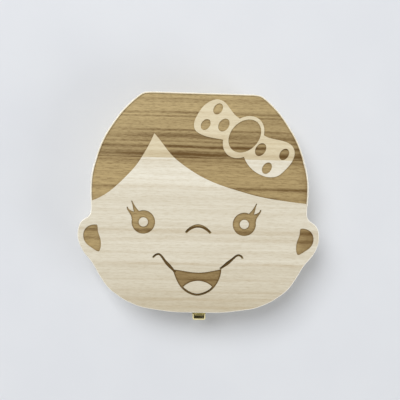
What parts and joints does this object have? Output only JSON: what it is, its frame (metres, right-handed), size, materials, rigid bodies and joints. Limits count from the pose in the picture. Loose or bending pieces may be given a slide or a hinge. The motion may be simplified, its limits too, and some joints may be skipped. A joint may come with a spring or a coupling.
{
  "type": "baby tooth box",
  "caption": "Flat head-shaped wooden keepsake box for milk teeth: hinged lid with a child's face burnt into it, tooth pockets around two bays, brass snap clasp at the chin.",
  "frame": {"origin": "on the underside of the base, under the middle of the head between crown and chin", "axes": "the box lies on its back: +X across the face from ear to ear, +Y from the chin to the hair and the hinges, +Z out of the face"},
  "size_m": [0.122, 0.1179, 0.024],
  "materials": {
    "pale_wood": "bare sanded softwood, engraved face burnt brown",
    "brass": "plated pressed sheet"
  },
  "bodies": {
    "base": {"base_lower_board": "pale_wood", "base_upper_board": "pale_wood", "hinge_left_base_leaf": "brass", "hinge_right_base_leaf": "brass", "hinge_left_pin": "brass", "hinge_right_pin": "brass", "hinge_base_screws": "brass", "clasp_catch_plate": "brass", "clasp_catch_nails": "brass"},
    "lid": {"lid_lower_board": "pale_wood", "lid_upper_board": "pale_wood", "hinge_left_lid_leaf": "brass", "hinge_right_lid_leaf": "brass", "hinge_lid_screws": "brass", "clasp_lid_plate": "brass", "clasp_lid_nails": "brass", "clasp_axle": "brass"},
    "flap": {"clasp_flap": "brass"}
  },
  "joints": [
    {"name": "lid_hinge", "type": "hinge", "parent": "base", "child": "lid", "pos_m": [0, 0.05574, 0.015], "axis": [-1, 0, 0], "range_deg": [0, 180]},
    {"name": "clasp_hinge", "type": "hinge", "parent": "lid", "child": "flap", "pos_m": [0.00085, -0.05701, 0.0196], "axis": [-1, 0, 0], "range_deg": [0, 90]}
  ]
}
